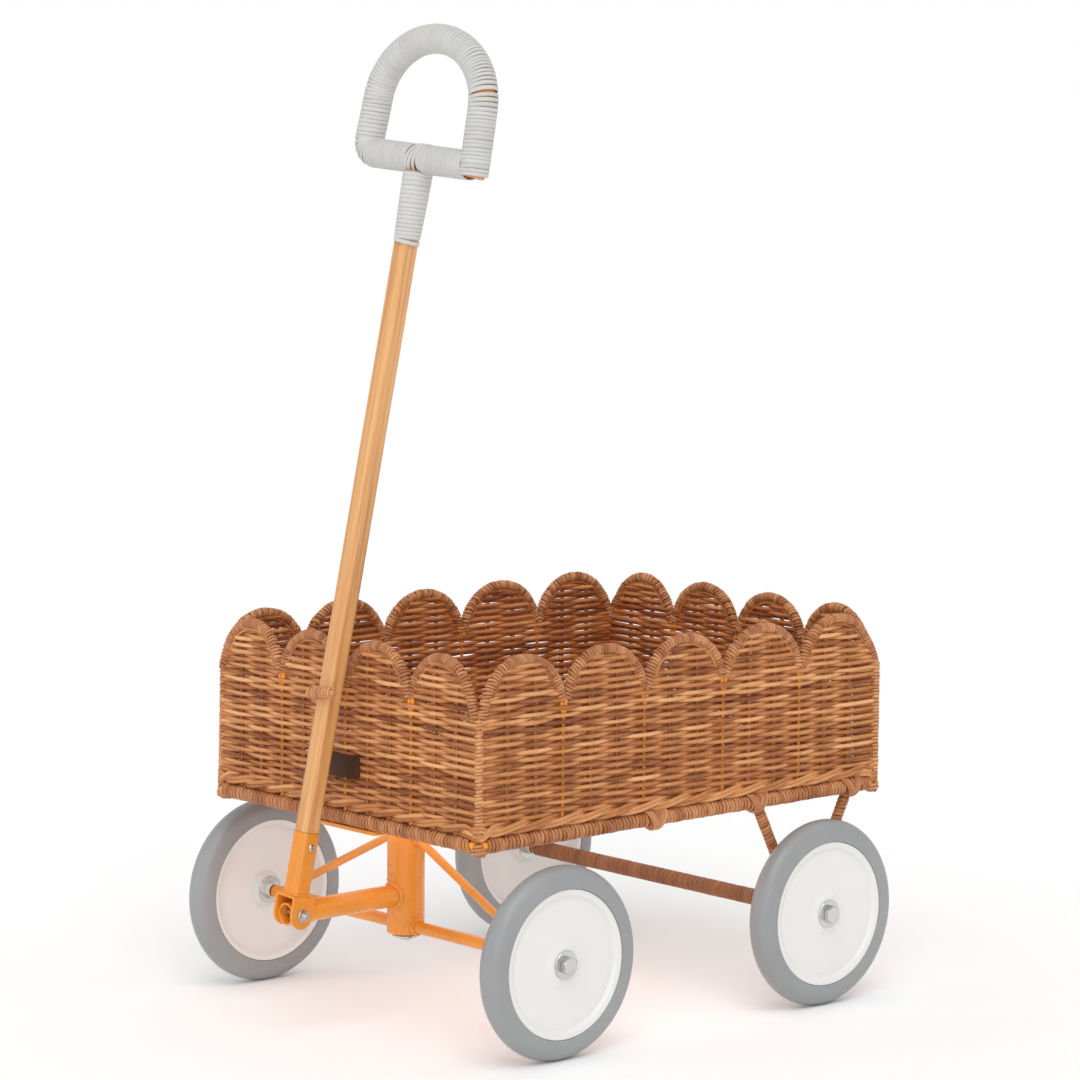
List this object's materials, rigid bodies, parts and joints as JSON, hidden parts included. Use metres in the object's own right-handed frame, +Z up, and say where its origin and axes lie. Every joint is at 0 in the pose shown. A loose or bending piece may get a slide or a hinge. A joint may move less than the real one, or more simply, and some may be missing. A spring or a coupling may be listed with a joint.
{
  "type": "pull-along wagon",
  "caption": "Child's pull-along wagon: scalloped woven rattan basket on a painted steel chassis, solid rubber tyres, and a wooden pull handle with a closed grip.",
  "frame": {"origin": "on the ground, at the middle of the bounding box", "axes": "+Z up and the longest extent, -Y the front where the handle is, +X the wagon's right side and the shortest extent"},
  "size_m": [0.515, 0.655, 1.0374],
  "materials": {
    "woven_rattan": "varnished woven rattan reed",
    "wrapping_rattan": "varnished flat rattan peel, wound",
    "axle_rattan": "dark stained rattan peel, wound tight",
    "frame_paint": "gloss orange enamel",
    "plated_steel": "plated, slightly worn",
    "handle_binding": "pale grey flat peel, wound",
    "pole_wood": "clear varnish over straight grain",
    "tag_leather": "smooth, dark, slightly glossy",
    "tyre_rubber": "grey solid rubber, matt",
    "wheel_paint": "off-white enamel"
  },
  "bodies": {
    "basket": {"woven_wall_front": "woven_rattan", "woven_wall_rear": "woven_rattan", "woven_wall_right": "woven_rattan", "woven_wall_left": "woven_rattan", "woven_floor": "woven_rattan", "rim_wrap_front": "wrapping_rattan", "rim_wrap_rear": "wrapping_rattan", "rim_wrap_right": "wrapping_rattan", "rim_wrap_left": "wrapping_rattan", "rail_wrap_front": "wrapping_rattan", "rail_wrap_rear": "wrapping_rattan", "rail_wrap_right": "wrapping_rattan", "rail_wrap_left": "wrapping_rattan", "handle_hook": "wrapping_rattan", "rear_strut_right_front": "wrapping_rattan", "rear_strut_right_rear": "wrapping_rattan", "rear_strut_left_front": "wrapping_rattan", "rear_strut_left_rear": "wrapping_rattan", "rear_axle_wrap": "axle_rattan", "basket_frame": "frame_paint", "steering_plate": "frame_paint", "rear_axle_tube": "frame_paint", "kingpin_bolt": "plated_steel", "kingpin_nut": "plated_steel", "wheel_washer_rear_right": "plated_steel", "wheel_washer_rear_left": "plated_steel", "wheel_bolt_rear_right": "plated_steel", "wheel_bolt_rear_left": "plated_steel", "axle_nut_rear_right": "plated_steel", "axle_nut_rear_left": "plated_steel", "leather_tag": "tag_leather"},
    "steering": {"steering_head_tube": "frame_paint", "tongue_tube": "frame_paint", "axle_tube_front_right": "frame_paint", "axle_tube_front_left": "frame_paint", "axle_brace_right": "frame_paint", "axle_brace_left": "frame_paint", "wheel_washer_front_right": "plated_steel", "wheel_bolt_front_right": "plated_steel", "axle_nut_front_right": "plated_steel", "wheel_washer_front_left": "plated_steel", "wheel_bolt_front_left": "plated_steel", "axle_nut_front_left": "plated_steel"},
    "handle": {"handle_clevis": "frame_paint", "clevis_bolt": "plated_steel", "clevis_nut": "plated_steel", "sleeve_screw": "plated_steel", "wooden_pole": "pole_wood", "grip_core": "frame_paint", "grip_wrap": "handle_binding", "neck_wrap": "handle_binding"},
    "wheel_front_right": {"tyre_front_right": "tyre_rubber", "wheel_disc_front_right": "wheel_paint"},
    "wheel_front_left": {"tyre_front_left": "tyre_rubber", "wheel_disc_front_left": "wheel_paint"},
    "wheel_rear_right": {"tyre_rear_right": "tyre_rubber", "wheel_disc_rear_right": "wheel_paint"},
    "wheel_rear_left": {"tyre_rear_left": "tyre_rubber", "wheel_disc_rear_left": "wheel_paint"}
  },
  "joints": [
    {"name": "steer", "type": "hinge", "parent": "basket", "child": "steering", "pos_m": [0, -0.16206, 0.15], "axis": [0, 0, 1], "range_deg": [-10, 10]},
    {"name": "handle_tilt", "type": "hinge", "parent": "steering", "child": "handle", "pos_m": [0, -0.31306, 0.133], "axis": [0.9988, 0, -0.0489], "range_deg": [0, 100], "deforming": ["handle_hook"]},
    {"name": "spin_front_right", "type": "hinge", "parent": "steering", "child": "wheel_front_right", "pos_m": [0.2365, -0.16206, 0.1], "axis": [1, 0, 0], "continuous": true},
    {"name": "spin_front_left", "type": "hinge", "parent": "steering", "child": "wheel_front_left", "pos_m": [-0.2365, -0.16206, 0.1], "axis": [1, 0, 0], "continuous": true},
    {"name": "spin_rear_right", "type": "hinge", "parent": "basket", "child": "wheel_rear_right", "pos_m": [0.2365, 0.21544, 0.1], "axis": [1, 0, 0], "continuous": true},
    {"name": "spin_rear_left", "type": "hinge", "parent": "basket", "child": "wheel_rear_left", "pos_m": [-0.2365, 0.21544, 0.1], "axis": [1, 0, 0], "continuous": true}
  ]
}
